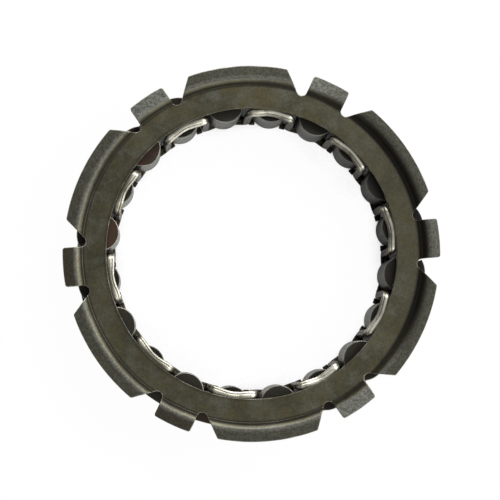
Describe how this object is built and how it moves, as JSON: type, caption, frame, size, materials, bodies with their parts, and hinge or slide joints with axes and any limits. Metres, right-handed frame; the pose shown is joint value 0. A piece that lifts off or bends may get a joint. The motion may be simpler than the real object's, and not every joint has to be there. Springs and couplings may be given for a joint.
{
  "type": "starter clutch",
  "caption": "Sprag one-way clutch ring: tilting sprags in a windowed cage, a formed spring wire, and a notched flange plate with drive lugs.",
  "frame": {"origin": "centre of the far rim's bottom face, on the axis of the ring", "axes": "+Z along the axis towards the flange plate, +X through the middle of the first drive lug"},
  "size_m": [0.0756, 0.0754, 0.015],
  "materials": {
    "flange_steel": "dark phosphated steel, olive brown",
    "cage_steel": "dark phosphated steel",
    "sprag_steel": "hardened steel with a satin working face",
    "spring_steel": "bright drawn spring steel"
  },
  "bodies": {
    "cage": {"flange_plate": "flange_steel", "outer_cage": "cage_steel"},
    "spring": {"spring_wire": "spring_steel"},
    "sprag_01": {"sprag_01": "sprag_steel"},
    "sprag_02": {"sprag_02": "sprag_steel"},
    "sprag_03": {"sprag_03": "sprag_steel"},
    "sprag_04": {"sprag_04": "sprag_steel"},
    "sprag_05": {"sprag_05": "sprag_steel"},
    "sprag_06": {"sprag_06": "sprag_steel"},
    "sprag_07": {"sprag_07": "sprag_steel"},
    "sprag_08": {"sprag_08": "sprag_steel"},
    "sprag_09": {"sprag_09": "sprag_steel"},
    "sprag_10": {"sprag_10": "sprag_steel"},
    "sprag_11": {"sprag_11": "sprag_steel"},
    "sprag_12": {"sprag_12": "sprag_steel"},
    "sprag_13": {"sprag_13": "sprag_steel"},
    "sprag_14": {"sprag_14": "sprag_steel"},
    "sprag_15": {"sprag_15": "sprag_steel"},
    "sprag_16": {"sprag_16": "sprag_steel"},
    "sprag_17": {"sprag_17": "sprag_steel"},
    "sprag_18": {"sprag_18": "sprag_steel"},
    "sprag_19": {"sprag_19": "sprag_steel"},
    "sprag_20": {"sprag_20": "sprag_steel"}
  },
  "joints": [
    {"name": "wire_turn", "type": "hinge", "parent": "cage", "child": "spring", "pos_m": [0, 0, 0.007], "axis": [0, 0, -1], "range_deg": [0, 1.79], "stiffness_Nm_per_rad": 0.5},
    {"name": "sprag_01_tilt", "type": "hinge", "parent": "cage", "child": "sprag_01", "pos_m": [0.03234, 0.00336, 0.007], "axis": [0, 0, 1], "range_deg": [0, 12]},
    {"name": "sprag_02_tilt", "type": "hinge", "parent": "cage", "child": "sprag_02", "pos_m": [0.02972, 0.01319, 0.007], "axis": [0, 0, 1], "range_deg": [0, 12]},
    {"name": "sprag_03_tilt", "type": "hinge", "parent": "cage", "child": "sprag_03", "pos_m": [0.02418, 0.02173, 0.007], "axis": [0, 0, 1], "range_deg": [0, 12]},
    {"name": "sprag_04_tilt", "type": "hinge", "parent": "cage", "child": "sprag_04", "pos_m": [0.01629, 0.02814, 0.007], "axis": [0, 0, 1], "range_deg": [0, 12]},
    {"name": "sprag_05_tilt", "type": "hinge", "parent": "cage", "child": "sprag_05", "pos_m": [0.00679, 0.03179, 0.007], "axis": [0, 0, 1], "range_deg": [0, 12]},
    {"name": "sprag_06_tilt", "type": "hinge", "parent": "cage", "child": "sprag_06", "pos_m": [-0.00336, 0.03234, 0.007], "axis": [0, 0, 1], "range_deg": [0, 12]},
    {"name": "sprag_07_tilt", "type": "hinge", "parent": "cage", "child": "sprag_07", "pos_m": [-0.01319, 0.02972, 0.007], "axis": [0, 0, 1], "range_deg": [0, 12]},
    {"name": "sprag_08_tilt", "type": "hinge", "parent": "cage", "child": "sprag_08", "pos_m": [-0.02173, 0.02418, 0.007], "axis": [0, 0, 1], "range_deg": [0, 12]},
    {"name": "sprag_09_tilt", "type": "hinge", "parent": "cage", "child": "sprag_09", "pos_m": [-0.02814, 0.01629, 0.007], "axis": [0, 0, 1], "range_deg": [0, 12]},
    {"name": "sprag_10_tilt", "type": "hinge", "parent": "cage", "child": "sprag_10", "pos_m": [-0.03179, 0.00679, 0.007], "axis": [0, 0, 1], "range_deg": [0, 12]},
    {"name": "sprag_11_tilt", "type": "hinge", "parent": "cage", "child": "sprag_11", "pos_m": [-0.03234, -0.00336, 0.007], "axis": [0, 0, 1], "range_deg": [0, 12]},
    {"name": "sprag_12_tilt", "type": "hinge", "parent": "cage", "child": "sprag_12", "pos_m": [-0.02972, -0.01319, 0.007], "axis": [0, 0, 1], "range_deg": [0, 12]},
    {"name": "sprag_13_tilt", "type": "hinge", "parent": "cage", "child": "sprag_13", "pos_m": [-0.02418, -0.02173, 0.007], "axis": [0, 0, 1], "range_deg": [0, 12]},
    {"name": "sprag_14_tilt", "type": "hinge", "parent": "cage", "child": "sprag_14", "pos_m": [-0.01629, -0.02814, 0.007], "axis": [0, 0, 1], "range_deg": [0, 12]},
    {"name": "sprag_15_tilt", "type": "hinge", "parent": "cage", "child": "sprag_15", "pos_m": [-0.00679, -0.03179, 0.007], "axis": [0, 0, 1], "range_deg": [0, 12]},
    {"name": "sprag_16_tilt", "type": "hinge", "parent": "cage", "child": "sprag_16", "pos_m": [0.00336, -0.03234, 0.007], "axis": [0, 0, 1], "range_deg": [0, 12]},
    {"name": "sprag_17_tilt", "type": "hinge", "parent": "cage", "child": "sprag_17", "pos_m": [0.01319, -0.02972, 0.007], "axis": [0, 0, 1], "range_deg": [0, 12]},
    {"name": "sprag_18_tilt", "type": "hinge", "parent": "cage", "child": "sprag_18", "pos_m": [0.02173, -0.02418, 0.007], "axis": [0, 0, 1], "range_deg": [0, 12]},
    {"name": "sprag_19_tilt", "type": "hinge", "parent": "cage", "child": "sprag_19", "pos_m": [0.02814, -0.01629, 0.007], "axis": [0, 0, 1], "range_deg": [0, 12]},
    {"name": "sprag_20_tilt", "type": "hinge", "parent": "cage", "child": "sprag_20", "pos_m": [0.03179, -0.00679, 0.007], "axis": [0, 0, 1], "range_deg": [0, 12]}
  ],
  "couplings": [
    {"joint": "sprag_01_tilt", "follows": "wire_turn", "ratio": 6.7181},
    {"joint": "sprag_02_tilt", "follows": "wire_turn", "ratio": 6.7181},
    {"joint": "sprag_03_tilt", "follows": "wire_turn", "ratio": 6.7181},
    {"joint": "sprag_04_tilt", "follows": "wire_turn", "ratio": 6.7181},
    {"joint": "sprag_05_tilt", "follows": "wire_turn", "ratio": 6.7181},
    {"joint": "sprag_06_tilt", "follows": "wire_turn", "ratio": 6.7181},
    {"joint": "sprag_07_tilt", "follows": "wire_turn", "ratio": 6.7181},
    {"joint": "sprag_08_tilt", "follows": "wire_turn", "ratio": 6.7181},
    {"joint": "sprag_09_tilt", "follows": "wire_turn", "ratio": 6.7181},
    {"joint": "sprag_10_tilt", "follows": "wire_turn", "ratio": 6.7181},
    {"joint": "sprag_11_tilt", "follows": "wire_turn", "ratio": 6.7181},
    {"joint": "sprag_12_tilt", "follows": "wire_turn", "ratio": 6.7181},
    {"joint": "sprag_13_tilt", "follows": "wire_turn", "ratio": 6.7181},
    {"joint": "sprag_14_tilt", "follows": "wire_turn", "ratio": 6.7181},
    {"joint": "sprag_15_tilt", "follows": "wire_turn", "ratio": 6.7181},
    {"joint": "sprag_16_tilt", "follows": "wire_turn", "ratio": 6.7181},
    {"joint": "sprag_17_tilt", "follows": "wire_turn", "ratio": 6.7181},
    {"joint": "sprag_18_tilt", "follows": "wire_turn", "ratio": 6.7181},
    {"joint": "sprag_19_tilt", "follows": "wire_turn", "ratio": 6.7181},
    {"joint": "sprag_20_tilt", "follows": "wire_turn", "ratio": 6.7181}
  ]
}
